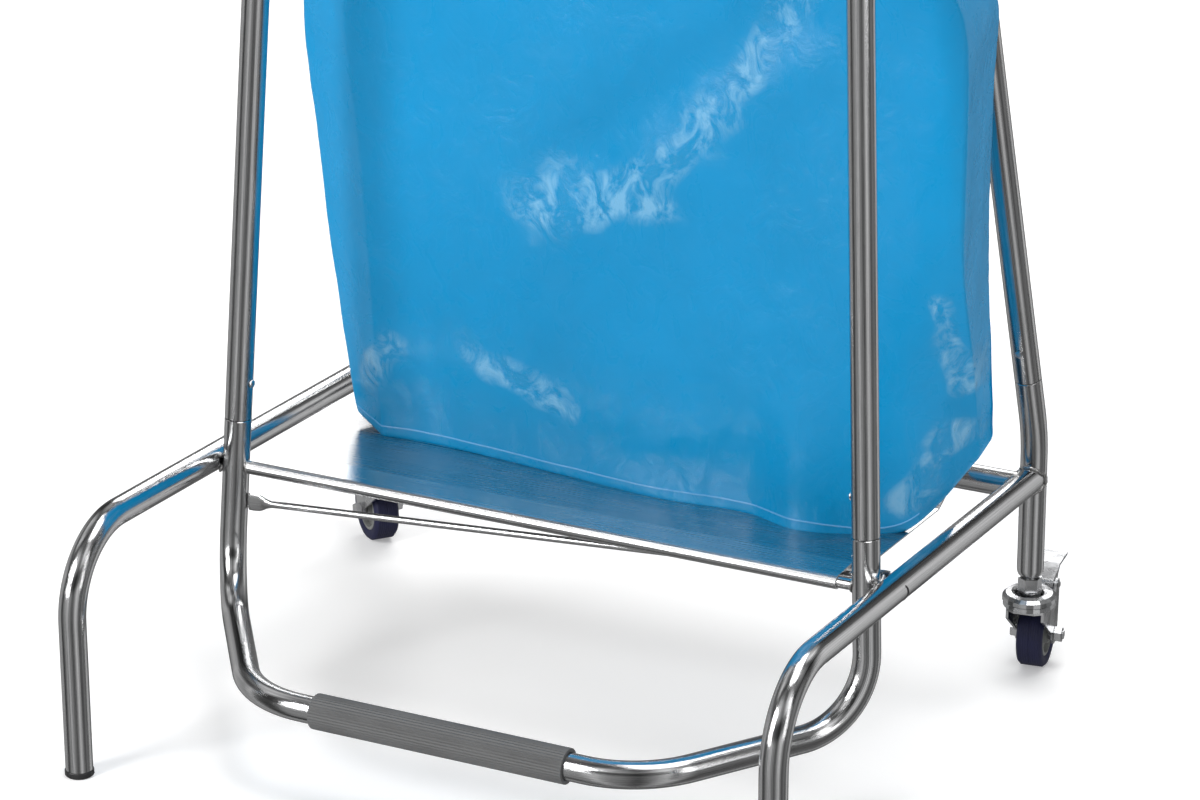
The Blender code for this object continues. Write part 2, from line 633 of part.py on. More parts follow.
def bag_sections():
    """(half width, centre x, front y, rear y, height, corner radius) from the base up and over the ring."""
    base = tray_top(0.180) + GAP
    front, rear = front_line(1, TOP_Z).y, rear_line(1, TOP_Z).y
    past_bar = TUBE_R + 0.004
    past_ring = RING_R + 0.0015
    inside = (
        (0.262, 0.020, 0.136, 0.220, base, 0.020),
        (0.286, 0.022, 0.130, 0.232, base + 0.035, 0.030),
        (0.308, 0.024, 0.128, 0.236, base + 0.110, 0.034),
        (0.316, 0.022, 0.128, 0.226, base + 0.300, 0.034),
        (0.322, 0.020, 0.122, 0.206, base + 0.480, 0.034),
        (0.300, 0.012, 0.096, 0.186, base + 0.570, 0.034),
        (0.268, 0.000, 0.062, 0.166, base + 0.630, 0.034),
        (0.262, 0.000, front + past_bar, rear - past_bar, TOP_Z, 0.034),
        (RING_HALF_X - past_ring, 0.0, front + past_ring, rear - past_ring, RING_Z, RING_CORNER - past_ring),
    )
    cuff = []
    for angle in (135, 90, 45, 0):
        out, rise = past_ring * math.cos(math.radians(angle)), past_ring * math.sin(math.radians(angle))
        cuff.append((RING_HALF_X + out, 0.0, front - out, rear + out, RING_Z + rise, RING_CORNER + out))
    out = CUFF_OUT
    cuff.append((RING_HALF_X + out, 0.0, front - out, rear + out, RING_Z - CUFF_DROP, RING_CORNER + out))
    return base, inside, cuff


def build_bag():
    """Film bag: a thin closed shell standing on the tray, its mouth turned out over the ring."""
    base, inside, cuff = bag_sections()
    wall = BAG_WALL
    back = []
    for half_x, centre_x, low_y, high_y, z, corner in reversed(cuff):
        out = half_x - RING_HALF_X
        rise = wall if z > RING_Z + 0.001 else 0.0
        grow = wall if out > 0.001 else (-wall if out < -0.001 else 0.0)
        back.append((half_x + grow, centre_x, low_y - grow, high_y + grow, z + rise, corner + grow))
    for half_x, centre_x, low_y, high_y, z, corner in reversed(inside):
        rise = wall if z == base else 0.0
        back.append((half_x - wall, centre_x, low_y + wall, high_y - wall, z + rise, corner - wall))
    tilt = (TRAY_BASE_REAR[1] - TRAY_BASE_FRONT[1]) / (TRAY_BASE_REAR[0] - TRAY_BASE_FRONT[0])
    bm = bmesh.new()
    rings = []
    for half_x, centre_x, low_y, high_y, z, corner in (*inside, *cuff, *back):
        slope = tilt if z < base + 0.01 else 0.0
        outline = rounded_rectangle(half_x, low_y, high_y, corner)
        rings.append([bm.verts.new((x + centre_x, y, z + slope * (y - 0.180))) for x, y in outline])
    for a, b in zip(rings[:-1], rings[1:]):
        bridge(bm, a, b)
    bm.faces.new(rings[0])
    bm.faces.new(rings[-1])
    finish("bag", bm, "bag", sharp=60.0)


def build_bag_band():
    """Elastic band round the turned-out mouth, under the ring."""
    front, rear = front_line(1, TOP_Z).y, rear_line(1, TOP_Z).y
    cuff = CUFF_OUT + BAG_WALL + GAP
    low, high, thick = RING_Z - 0.030, RING_Z - 0.022, 0.0018
    bm = bmesh.new()
    rings = []
    for grow, z in ((cuff, low), (cuff + thick, low), (cuff + thick, high), (cuff, high)):
        outline = rounded_rectangle(RING_HALF_X + grow, front - grow, rear + grow, RING_CORNER + grow)
        rings.append([bm.verts.new((x, y, z)) for x, y in outline])
    for index, ring in enumerate(rings):
        bridge(bm, ring, rings[(index + 1) % len(rings)])
    finish("bag_band", bm, "black")


# ---- assembly -----------------------------------------------------------------------------------
for leftover in list(bpy.data.objects):
    bpy.data.objects.remove(leftover, do_unlink=True)

build_side_rails()
build_foot_loop()
build_rear_posts()
build_cross_members()
build_tray()
build_upper_frames()
build_casters()
build_ring()
build_bag()
build_bag_band()
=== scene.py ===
"""Looks of the linen trolley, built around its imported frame.

Fine tubes, weld beads, the film bag and all the finishes are made here. Points are laid out in
metres from the floor midway between the front uprights, and PLACE moves them into the frame.
"""

import math

import bpy
import numpy as np
from mathutils import Matrix, Vector, noise


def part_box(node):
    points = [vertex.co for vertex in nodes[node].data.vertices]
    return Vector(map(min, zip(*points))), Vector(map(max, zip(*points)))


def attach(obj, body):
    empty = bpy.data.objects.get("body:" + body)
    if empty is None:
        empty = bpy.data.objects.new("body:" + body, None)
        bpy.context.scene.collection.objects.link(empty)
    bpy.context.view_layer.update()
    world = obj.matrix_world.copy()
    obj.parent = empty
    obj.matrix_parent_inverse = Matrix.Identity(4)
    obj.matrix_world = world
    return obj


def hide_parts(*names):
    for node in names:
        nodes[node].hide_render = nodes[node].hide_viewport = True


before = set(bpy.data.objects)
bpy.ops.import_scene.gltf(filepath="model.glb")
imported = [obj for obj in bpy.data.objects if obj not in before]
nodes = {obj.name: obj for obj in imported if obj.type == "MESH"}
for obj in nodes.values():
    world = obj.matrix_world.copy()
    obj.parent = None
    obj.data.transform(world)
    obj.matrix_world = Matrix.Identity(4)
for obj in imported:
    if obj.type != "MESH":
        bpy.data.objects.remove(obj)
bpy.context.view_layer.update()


def middle(node):
    low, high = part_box(node)
    return (low + high) / 2


# ---- driving dimensions, read from the frame ----------------------------------------------------
RAIL_X = (middle("right_foot_cap").x - middle("left_foot_cap").x) / 2
UPRIGHT_Y = middle("tray_front_rod").y
PLACE = Matrix.Translation((RAIL_X, UPRIGHT_Y, 0.0))
CROSS = middle("rear_cross_tube") - PLACE.translation
TUBE_R = (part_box("rear_cross_tube")[1].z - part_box("rear_cross_tube")[0].z) / 2
LEG_Y = middle("left_foot_cap").y - UPRIGHT_Y
POST_Y = middle("left_caster_stem").y - UPRIGHT_Y
ROD = middle("tray_front_rod") - PLACE.translation
RING_Z = middle("bag_ring").z
RING_HALF_X = (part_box("bag_ring")[1].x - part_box("bag_ring")[0].x) / 2 - 0.005
GRIP = middle("foot_loop_grip") - PLACE.translation
POST_END_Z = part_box("left_rear_post")[0].z
FRONT_SEAM_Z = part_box("front_upper_frame")[0].z
REAR_SEAM_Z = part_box("rear_upper_frame")[0].z + 0.003
TOP_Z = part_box("front_upper_frame")[1].z - TUBE_R

GAP = 0.0003
WALL = 0.0015
RAIL_FALL = 0.048
RAIL_Z = CROSS.z + RAIL_FALL * CROSS.y
RAIL_BEND = 0.077
UPRIGHT_X = RAIL_X - 2 * TUBE_R - GAP
LEAN_IN = 0.0512
FRONT_LEAN = 0.0504
REAR_LEAN = 0.2325
REAR_KNEE_Z = 0.245
REAR_KNEE_BEND = 0.20
TOP_BEND = 0.070
LEG_END_Z = 0.0063              # the leg's lower end, just above the foot cap's rim
LOOP_CORNER_X = 0.192
LOOP_KNEE_Z = 0.090
LOOP_KNEE_BEND = 0.068
LOOP_CORNER_BEND = 0.100
ROD_R = 0.005
BRACE_R = 0.0033
BEAD_R = TUBE_R + 0.0006        # ring on which a weld bead round a tube's end lies
FACETS = 40
SIDES = (("left", -1), ("right", 1))


def rail_z(y):
    return RAIL_Z - RAIL_FALL * y


def front_line(side, z):
    rise = z - RAIL_Z
    return Vector((side * (UPRIGHT_X - LEAN_IN * rise), FRONT_LEAN * rise, z))


def rear_line(side, z):
    rise = z - REAR_KNEE_Z
    return Vector((side * (RAIL_X - LEAN_IN * rise), POST_Y - REAR_LEAN * rise, z))


# ---- materials ----------------------------------------------------------------------------------
class Nodes:
    """Short calls for building one material's node tree."""

    def __init__(self, name, colour, metallic, roughness):
        self.material = bpy.data.materials.new(name)
        self.material.use_nodes = True
        self.tree = self.material.node_tree
        self.shader = self.tree.nodes["Principled BSDF"]
        self.shader.inputs["Base Color"].default_value = (*colour, 1.0)
        self.shader.inputs["Metallic"].default_value = metallic
        self.shader.inputs["Roughness"].default_value = roughness

    def add(self, kind, inputs=None, **values):
        node = self.tree.nodes.new(kind)
        for key, value in values.items():
            setattr(node, key, value)
        for key, value in (inputs or {}).items():
            if isinstance(value, bpy.types.NodeSocket):
                self.tree.links.new(value, node.inputs[key])
            else:
                node.inputs[key].default_value = value
        return node

    def feed(self, socket, target):
        self.tree.links.new(socket, self.shader.inputs[target])

    def place(self, scale, attribute=None):
        """Coordinates from the object's own metres, or from a stored attribute."""
        if attribute:
            source = self.add("ShaderNodeAttribute", attribute_name=attribute).outputs["Vector"]
        else:
            source = self.add("ShaderNodeTexCoord").outputs["Object"]
        return self.add("ShaderNodeMapping", {"Vector": source, "Scale": scale}).outputs["Vector"]

    def noise(self, vector, scale=1.0, detail=3.0, rough=0.5, distortion=0.0):
        made = self.add("ShaderNodeTexNoise", {"Vector": vector, "Scale": scale, "Detail": detail,
                                               "Roughness": rough, "Distortion": distortion})
        return made.outputs["Fac"]

    def spread(self, value, low, high, source_low=0.25, source_high=0.75):
        inputs = {"Value": value, "From Min": source_low, "From Max": source_high,
                  "To Min": low, "To Max": high}
        return self.add("ShaderNodeMapRange", inputs).outputs["Result"]

    def combined(self, first, second, operation="ADD"):
        return self.add("ShaderNodeMath", {0: first, 1: second}, operation=operation).outputs[0]

    def blend(self, factor, first, second):
        """A colour or a colour socket blended towards one colour."""
        made = self.add("ShaderNodeMix", {0: factor}, data_type="RGBA")
        if isinstance(first, bpy.types.NodeSocket):
            self.tree.links.new(first, made.inputs[6])
        else:
            made.inputs[6].default_value = (*first, 1.0)
        made.inputs[7].default_value = (*second, 1.0)
        return made.outputs[2]

    def cloudy(self, value, dark, light):
        """A colour that goes from dark to light as the value rises."""
        return self.blend(self.spread(value, 0.0, 1.0), dark, light)

    def bump(self, height, strength, distance, under=None):
        inputs = {"Height": height, "Strength": strength, "Distance": distance}
        if under is not None:
            inputs["Normal"] = under
        return self.add("ShaderNodeBump", inputs).outputs["Normal"]


def chrome_look():
    """Polished tube: long drawn streaks along the tube, faint handling smears."""
    look = Nodes("polished_tube", (0.60, 0.605, 0.61), 1.0, 0.10)
    streaks = look.noise(look.place((9.0, 9.0, 2.5), "grain"), 2.2, 5.0, 0.62)
    smears = look.noise(look.place((14.0, 14.0, 14.0)), 1.0, 3.0)
    look.feed(look.cloudy(streaks, (0.44, 0.445, 0.455), (0.70, 0.70, 0.70)), "Base Color")
    look.feed(look.combined(look.spread(streaks, 0.06, 0.15), look.spread(smears, 0.0, 0.05)), "Roughness")
    look.feed(look.bump(streaks, 0.25, 0.0004), "Normal")
    return look.material


def weld_look():
    look = Nodes("weld_bead", (0.52, 0.51, 0.50), 1.0, 0.28)
    grain = look.noise(look.place((900.0, 900.0, 900.0)), 1.0, 2.0)
    look.feed(look.cloudy(grain, (0.34, 0.33, 0.32), (0.60, 0.60, 0.60)), "Base Color")
    look.feed(look.spread(grain, 0.20, 0.42), "Roughness")
    look.feed(look.bump(grain, 0.4, 0.0003), "Normal")
    return look.material


def stainless_look():
    """Brushed sheet, its lines along the tray's width."""
    look = Nodes("brushed_sheet", (0.55, 0.555, 0.56), 1.0, 0.26)
    lines = look.noise(look.place((6.0, 900.0, 900.0)), 1.0, 4.0, 0.6)
    cloud = look.noise(look.place((7.0, 12.0, 12.0)), 1.0, 3.0)
    look.feed(look.cloudy(lines, (0.47, 0.475, 0.48), (0.62, 0.62, 0.625)), "Base Color")
    look.feed(look.combined(look.spread(lines, 0.20, 0.30), look.spread(cloud, -0.03, 0.06)), "Roughness")
    look.feed(look.bump(lines, 0.12, 0.0002), "Normal")
    return look.material


def zinc_look():
    look = Nodes("bright_zinc", (0.60, 0.61, 0.62), 1.0, 0.26)
    cloud = look.noise(look.place((60.0, 60.0, 60.0)), 1.0, 4.0)
    grain = look.noise(look.place((1500.0, 1500.0, 1500.0)), 1.0, 2.0)
    look.feed(look.cloudy(cloud, (0.46, 0.47, 0.48), (0.68, 0.68, 0.69)), "Base Color")
    look.feed(look.spread(cloud, 0.18, 0.36), "Roughness")
    look.feed(look.bump(grain, 0.15, 0.0001), "Normal")
    return look.material


def grip_look():
    look = Nodes("grip_rubber", (0.11, 0.11, 0.112), 0.0, 0.66)
    grain = look.noise(look.place((700.0, 1400.0, 1400.0)), 1.0, 3.0)
    wear = look.noise(look.place((18.0, 40.0, 40.0)), 1.0, 4.0)
    look.feed(look.cloudy(wear, (0.090, 0.091, 0.092), (0.125, 0.126, 0.127)), "Base Color")
    look.feed(look.spread(wear, 0.54, 0.70), "Roughness")
    look.feed(look.bump(grain, 0.25, 0.0002), "Normal")
    return look.material


def plastic_look(name, dark, light, roughness, bump=0.15):
    look = Nodes(name, light, 0.0, roughness)
    cloud = look.noise(look.place((50.0, 50.0, 50.0)), 1.0, 3.0)
    grain = look.noise(look.place((1200.0, 1200.0, 1200.0)), 1.0, 2.0)
    look.feed(look.cloudy(cloud, dark, light), "Base Color")
    look.feed(look.spread(cloud, roughness - 0.06, roughness + 0.08), "Roughness")
    look.feed(look.bump(grain, bump, 0.00015), "Normal")
    return look.material


def film_look(name="bag_film", paler=0.0):
    """Thin glossy film: cloudy colour where layers touch, crinkles that break the gloss, and a painted glare:
    a pale light blue blended into the colour where the film is crinkled hardest, standing in for light
    glancing off it.

    The stored crease mask says how hard the film is crinkled at each place, and so also how strong the
    painted glare is.
    """
    look = Nodes(name, (0.0, 0.27, 0.58), 0.0, 0.22)
    cloud = look.noise(look.place((5.0, 5.0, 4.0)), 1.0, 4.0, 0.6)
    crackle_and_glare = look.noise(look.place((34.0, 34.0, 26.0)), 1.0, 6.0, 0.62, 1.4)
    fine = look.noise(look.place((120.0, 120.0, 90.0)), 1.0, 5.0, 0.65, 1.2)
    crease_and_glare = look.add("ShaderNodeAttribute", attribute_name="crackle_and_glare").outputs["Fac"]
    dark = (paler, 0.232 + paler, 0.49 + paler)
    light = (paler, 0.285 + paler, 0.60 + paler)
    # Painted glare: where the film is crinkled hardest its colour is blended towards a pale light blue that
    # stands in for light glancing off the crinkles.
    streaks = look.spread(crackle_and_glare, 0.0, 1.0, 0.46, 0.62)
    painted_glare = look.combined(look.spread(crease_and_glare, 0.0, 0.62, 0.40, 1.0), streaks, "MULTIPLY")
    look.feed(look.blend(painted_glare, look.cloudy(cloud, dark, light), (0.24, 0.52, 0.74)), "Base Color")
    look.feed(look.spread(crackle_and_glare, 0.22, 0.36), "Roughness")
    look.feed(look.bump(crackle_and_glare, 0.20, 0.0030), "Normal")
    look.shader.inputs["Specular IOR Level"].default_value = 0.20
    look.feed(look.spread(crease_and_glare, 0.22, 0.90, 0.15, 0.80), "Coat Weight")
    look.shader.inputs["Coat Roughness"].default_value = 0.16
    coarse = look.bump(crackle_and_glare, look.spread(crease_and_glare, 0.10, 1.0, 0.0, 1.0), 0.0150)
    look.feed(look.bump(fine, look.spread(crease_and_glare, 0.06, 1.0, 0.0, 1.0), 0.0040, coarse), "Coat Normal")
    return look.material


CHROME = chrome_look()
WELD = weld_look()
STAINLESS = stainless_look()
ZINC = zinc_look()
GRIP_RUBBER = grip_look()
BLACK = plastic_look("black_plastic", (0.010, 0.010, 0.011), (0.022, 0.022, 0.023), 0.45)
BAND_RUBBER = plastic_look("band_rubber", (0.012, 0.012, 0.013), (0.030, 0.030, 0.031), 0.60)
TREAD = plastic_look("navy_tread", (0.004, 0.005, 0.034), (0.008, 0.010, 0.052), 0.62, 0.3)
HUB = plastic_look("grey_hub", (0.13, 0.135, 0.13), (0.20, 0.205, 0.20), 0.50)
FILM = film_look()
FILM_SEAM = film_look("bag_film_seam", 0.12)


# ---- mesh helpers -------------------------------------------------------------------------------
def new_piece(name, vertices, faces, material, stands_for=(), body="frame", sharp=35.0, grain=None):
    """Makes a smooth-shaded piece in the frame, riding on its body."""
    mesh = bpy.data.meshes.new(name)
    mesh.from_pydata([tuple(PLACE @ Vector(v)) for v in vertices], [], faces)
    mesh.polygons.foreach_set("use_smooth", [True] * len(mesh.polygons))
    mesh.set_sharp_from_angle(angle=math.radians(sharp))
    if grain is not None:
        stored = mesh.attributes.new("grain", "FLOAT_VECTOR", "POINT")
        stored.data.foreach_set("vector", np.asarray(grain, np.float32).ravel())
    mesh.materials.append(material)
    piece = bpy.data.objects.new(name, mesh)
    bpy.context.scene.collection.objects.link(piece)
    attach(piece, body)
    if stands_for:
        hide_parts(*stands_for)
    return piece


def rounded_path(corners, bends, step_degrees=4.0):
    """Corner points joined by straight runs, with an arc of the given radius at each inner corner."""
    points = [Vector(corners[0])]
    for index, radius in enumerate(bends, start=1):
        corner = Vector(corners[index])
        back = (Vector(corners[index - 1]) - corner).normalized()
        ahead = (Vector(corners[index + 1]) - corner).normalized()
        opening = back.angle(ahead)
        centre = corner + (back + ahead).normalized() * (radius / math.sin(opening / 2))
        start = corner + back * (radius / math.tan(opening / 2)) - centre
        turn = math.pi - opening
        axis = back.cross(start).normalized()
        steps = max(2, round(math.degrees(turn) / step_degrees))
        for step in range(steps + 1):
            points.append(centre + Matrix.Rotation(turn * step / steps, 3, axis) @ start)
    points.append(Vector(corners[-1]))
    return points


def path_frames(points, reference):
    """A (tangent, first, second) frame at each point, carried along without twist."""
    count = len(points)
    legs = [(points[i + 1] - points[i]).normalized() for i in range(count - 1)]
    frames = []
    for i in range(count):
        tangent = (legs[max(i - 1, 0)] + legs[min(i, count - 2)]).normalized()
        previous = frames[-1][1] if frames else Vector(reference)
        first = (previous - tangent * previous.dot(tangent)).normalized()
        frames.append((tangent, first, tangent.cross(first)))
    return frames


def ring_faces(ring_count, facets, closed):
    """Quads between rings of facets vertices each; closed joins the last ring to the first."""
    faces = []
    for ring in range(ring_count if closed else ring_count - 1):
        following = (ring + 1) % ring_count
        for k in range(facets):
            near, far = ring * facets, following * facets
            other = (k + 1) % facets
            faces.append((near + k, near + other, far + other, far + k))
    return faces


def chamfered(points, radii, ends):
    """Adds a small chamfer to the chosen ends of a path and its radii."""
    points, radii = list(points), list(radii)
    cut = 0.0005
    if ends[0]:
        along = (points[1] - points[0]).normalized()
        points[1:1] = [points[0] + along * cut]
        radii[1:1] = [radii[0]]
        radii[0] -= cut
    if ends[1]:
        along = (points[-2] - points[-1]).normalized()
        points[-1:-1] = [points[-1] + along * cut]
        radii[-1:-1] = [radii[-1]]
        radii[-1] -= cut
    return points, radii


def tube(name, points, stands_for, radius=TUBE_R, wall=WALL, reference=(1, 0, 0), radii=None,
         saddles=(None, None), chamfers=(False, False), halves=None, facets=FACETS):
    """A bent chrome tube, or with wall 0 a solid bar.

    A saddle is (lateral direction, radius of the tube that this end meets); halves gives each ring
    its own two half widths.
    """
    radii = radii or [radius] * len(points)
    points, radii = chamfered(points, radii, chamfers)
    frames = path_frames(points, reference)
    lengths = [0.0]
    for a, b in zip(points[:-1], points[1:]):
        lengths.append(lengths[-1] + (b - a).length)
    order = [(i, 0.0) for i in range(len(points))]
    if wall:
        order += [(i, wall) for i in reversed(range(len(points)))]
    vertices, grain = [], []
    for i, inset in order:
        half = halves[i] if halves else (radii[i] - inset, radii[i] - inset)
        saddle = saddles[0] if i == 0 else saddles[1] if i == len(points) - 1 else None
        outward = frames[i][0] * (-1 if i == 0 else 1)
        for k in range(facets):
            angle = math.tau * k / facets
            place = points[i] + frames[i][1] * (half[0] * math.cos(angle))
            place += frames[i][2] * (half[1] * math.sin(angle))
            if saddle:
                offset = (place - points[i]).dot(Vector(saddle[0]))
                place += outward * (saddle[1] - math.sqrt(saddle[1] ** 2 - offset ** 2))
            vertices.append(place)
            grain.append((math.cos(angle), math.sin(angle), lengths[i]))
    faces = ring_faces(len(order), facets, closed=bool(wall))
    if not wall:
        last = (len(order) - 1) * facets
        faces += [tuple(reversed(range(facets))), tuple(range(last, last + facets))]
    return new_piece(name, vertices, faces, CHROME, stands_for, grain=grain)


def weld(name, points, radius=0.0017, closed=False):
    """A rippled bead along a line of points."""
    points = [Vector(p) for p in points]
    count, facets = len(points), 8
    vertices = []
    for i, point in enumerate(points):
        before = points[i - 1] if (i or closed) else points[i]
        after = points[(i + 1) % count] if (i < count - 1 or closed) else points[i]
        along = (after - before).normalized()
        first = along.orthogonal().normalized()
        second = along.cross(first)
        ripple = radius * (1.0 + 0.16 * math.sin(2.1 * i) + 0.10 * math.sin(0.7 * i))
        if not closed and i in (0, count - 1):
            ripple *= 0.35
        for k in range(facets):
            angle = math.tau * k / facets
            vertices.append(point + first * (ripple * math.cos(angle)) + second * (ripple * math.sin(angle)))
    faces = ring_faces(count, facets, closed)
    if not closed:
        last = (count - 1) * facets
        faces += [tuple(reversed(range(facets))), tuple(range(last, last + facets))]
    return new_piece(name, vertices, faces, WELD, sharp=80.0)


def saddle_line(centre, outward, lateral, meet, radius, count=40):
    """Points round a tube of the given radius where it meets another tube side on."""
    outward, lateral = Vector(outward), Vector(lateral)
    third = outward.cross(lateral)
    points = []
    for k in range(count):
        angle = math.tau * k / count
        offset = radius * math.cos(angle)
        depth = meet - math.sqrt(meet ** 2 - min(offset ** 2, (0.985 * meet) ** 2))
        point = Vector(centre) + lateral * offset
        point += third * (radius * math.sin(angle)) + outward * depth
        points.append(point)
    return points


# ---- welded frame -------------------------------------------------------------------------------
def build_side_rails():
    meet = TUBE_R + GAP
    for name, side in SIDES:
        x = side * RAIL_X
        end = POST_Y - meet
        corners = ((x, LEG_Y, LEG_END_Z), (x, LEG_Y, rail_z(LEG_Y)), (x, end, rail_z(end)))
        tube(f"{name}_side_rail_tube", rounded_path(corners, (RAIL_BEND,)), (f"{name}_side_rail",),
             saddles=(None, ((1, 0, 0), meet)))
        bead = saddle_line((x, end + 0.0005, rail_z(end)), (0, 1, 0), (1, 0, 0), TUBE_R, BEAD_R)
        weld(f"{name}_rail_weld", bead, closed=True)
        touch_x = side * (RAIL_X - TUBE_R)
        for label, level in (("upper", 1), ("lower", -1)):
            line = []
            for step in range(15):
                y = (step / 14 - 0.5) * 0.019
                z = rail_z(0) + level * (0.0040 + 55.0 * y * y)
                line.append((touch_x - side * 0.0002, y, z))
            weld(f"{name}_upright_{label}_weld", line, 0.0016)


def build_foot_loop():
    corners = []
    for side in (-1, 1):
        corner = Vector((side * LOOP_CORNER_X, GRIP.y, GRIP.z))
        half = [front_line(side, FRONT_SEAM_Z - GAP), front_line(side, LOOP_KNEE_Z), corner]
        corners += half if side < 0 else half[::-1]
    path = rounded_path(corners, (LOOP_KNEE_BEND, LOOP_CORNER_BEND, LOOP_CORNER_BEND, LOOP_KNEE_BEND))
    tube("foot_loop_tube", path, ("foot_loop",), chamfers=(True, True))


def build_rear_posts():
    for name, side in SIDES:
        crimp = ((0.0, 0.0016), (0.0012, 0.0010), (0.0025, 0.0005), (0.0042, 0.0001), (0.006, 0.0))
        corners = ((side * RAIL_X, POST_Y, POST_END_Z + 0.010), (side * RAIL_X, POST_Y, REAR_KNEE_Z),
                   rear_line(side, REAR_SEAM_Z - GAP))
        bend = rounded_path(corners, (REAR_KNEE_BEND,), 2.0)
        points = [Vector((side * RAIL_X, POST_Y, POST_END_Z + rise)) for rise, _ in crimp] + bend
        radii = [TUBE_R - cut for _, cut in crimp] + [TUBE_R] * len(bend)
        tube(f"{name}_rear_post_tube", points, (f"{name}_rear_post",), radii=radii,
             chamfers=(False, True))


def build_cross_members():
    meet = TUBE_R + GAP
    ends = [Vector((side * (RAIL_X - meet), CROSS.y, CROSS.z)) for side in (-1, 1)]
    tube("rear_cross_tube_tube", ends, ("rear_cross_tube",), reference=(0, 0, 1),
         saddles=(((0, 0, 1), meet),) * 2)
    for (name, side), end in zip(SIDES, ends):
        bead = saddle_line(end, (side, 0, 0), (0, 0, 1), TUBE_R, BEAD_R)
        weld(f"{name}_cross_weld", bead, closed=True)
    reach = front_line(1, ROD.z).x - TUBE_R - GAP
    ends = [Vector((side * reach, 0, ROD.z)) for side in (-1, 1)]
    tube("tray_front_rod_bar", ends, ("tray_front_rod",), radius=ROD_R, wall=0, reference=(0, 0, 1),
         facets=28)
    for (name, _), end in zip(SIDES, ends):
        ring = []
        for k in range(24):
            angle = math.tau * k / 24
            ring.append(end + Vector((0, math.cos(angle), math.sin(angle))) * (ROD_R + 0.0006))
        weld(f"{name}_rod_weld", ring, 0.0012, closed=True)
    build_brace()


def build_brace():
    """Thin diagonal rod under the tray, its ends pressed flat and welded."""
    left = Vector((-(front_line(1, 0.190).x - TUBE_R - 2 * GAP), 0.0, 0.180))
    right = Vector((RAIL_X - TUBE_R - GAP, 0.024, 0.2155))
    along = (right - left).normalized()
    stations = ((0.0, 0.0082, 0.0014), (0.004, 0.0086, 0.0015), (0.011, 0.0084, 0.0016),
                (0.015, 0.0070, 0.0021), (0.019, 0.0050, 0.0028), (0.024, 0.0036, 0.0032),
                (0.030, BRACE_R, BRACE_R))
    points = [left + along * d for d, _, _ in stations] + [right - along * d for d, _, _ in stations[::-1]]
    halves = [(a, b) for _, a, b in stations]
    tube("brace_rod_bar", points, ("brace_rod",), wall=0, reference=(0, 0, 1), facets=24,
         halves=halves + halves[::-1])
    for name, end, beside in (("left", left, 0.0016), ("right", right, -0.0016)):
        bead = [end + Vector((0, beside, rise)) for rise in np.linspace(-0.008, 0.008, 10)]
        weld(f"{name}_brace_weld", bead, 0.0012)


def build_upper_frames():
    for name, line, seam in (("front", front_line, FRONT_SEAM_Z), ("rear", rear_line, REAR_SEAM_Z)):
        corners = (line(-1, seam + GAP), line(-1, TOP_Z), line(1, TOP_Z), line(1, seam + GAP))
        tube(f"{name}_upper_tube", rounded_path(corners, (TOP_BEND, TOP_BEND)), (f"{name}_upper_frame",),
             reference=(0, 1, 0), chamfers=(True, True))


def build_pressed_marks():
    """Small pressed dimples below the seams, and the oval drain hole in the right rail, drawn as a black dish
    whose black is painted shade for the hole's dark inside.
    """
    post_line, rail_line = Vector((0, 0, 1)), Vector((0, 1, 0))
    for name, side in SIDES:
        pressed_mark(f"{name}_front_dimple", front_line(side, 0.244), Vector((-side * 0.9, -0.45, 0)),
                     post_line, 0.0016, 0.0016, ZINC)
        pressed_mark(f"{name}_rear_dimple", rear_line(side, 0.291), Vector((-0.25 * side, -1.0, 0)),
                     post_line, 0.0016, 0.0016, ZINC)
    # Painted shade: the drain hole is a black dish standing in for the shade inside the hole.
    drain = Vector((RAIL_X, 0.002, rail_z(0.002)))
    pressed_mark("right_rail_drain_painted_shade", drain, Vector((0.95, -0.15, -0.12)), rail_line, 0.0046, 0.0078, BLACK)


def pressed_mark(name, centre, outward, tube_line, half_wide, half_high, material):
    """A shallow oval dish lying on a tube that runs along tube_line."""
    outward = outward.normalized()
    upright = tube_line.z > 0.5
    wide = outward.cross(tube_line) if upright else tube_line - outward * tube_line.dot(outward)
    wide.normalize()
    high = outward.cross(wide)
    facets = 20
    rings = ((1.0, 0.0), (0.95, 0.00025), (0.80, 0.00020), (0.45, -0.0002))
    vertices = []
    for scale, rise in rings:
        for k in range(facets):
            angle = math.tau * k / facets
            a, b = half_wide * scale * math.cos(angle), half_high * scale * math.sin(angle)
            around = min(abs(a if upright else b), TUBE_R * 0.95)
            surface = math.sqrt(TUBE_R ** 2 - around ** 2)
            vertices.append(centre + wide * a + high * b + outward * (surface + rise))
    faces = ring_faces(len(rings), facets, closed=False)
    last = (len(rings) - 1) * facets
    faces += [tuple(range(facets)), tuple(reversed(range(last, last + facets)))]
    new_piece(name, vertices, faces, material)


# ---- bag ----------------------------------------------------------------------------------------
TRAY_TOP_Z = 0.2005             # height of the bag's lower edge
BAG_MIDDLE_Y = 0.180
FOLDS = (0, 1, 8, 9, 12)        # the outline stations where the film turns a corner
MOUTH_IN = 0.0066               # the mouth runs this far inside the ring's centre line
CUFF_DROP = 0.036
RING_CORNER = 0.040
NECK_LOW_Z = 0.790              # the film's corners start to round off towards the ring here
FILM_THICKNESS = 0.0006
UP_ROWS = 200
AROUND_STEPS = 400

# Creases in the front as (size, depth, stretch upwards), and the glare patches, where the film is crinkled
# harder and a pale glare is painted into its colour, as lines in (x, z) with a half width.
CREASES = ((0.085, 0.0026, 0.7), (0.040, 0.0011, 0.8), (0.018, 0.00045, 1.0))
GLARE_PATCHES = (((-0.068, 0.462), (0.040, 0.500), 0.030), ((0.040, 0.500), (0.120, 0.585), 0.020),
           ((0.120, 0.585), (0.185, 0.700), 0.016), ((-0.150, 0.308), (-0.035, 0.270), 0.015),
           ((-0.262, 0.262), (-0.232, 0.300), 0.016), ((0.322, 0.430), (0.334, 0.345), 0.010),
           ((0.290, 0.235), (0.325, 0.300), 0.014))


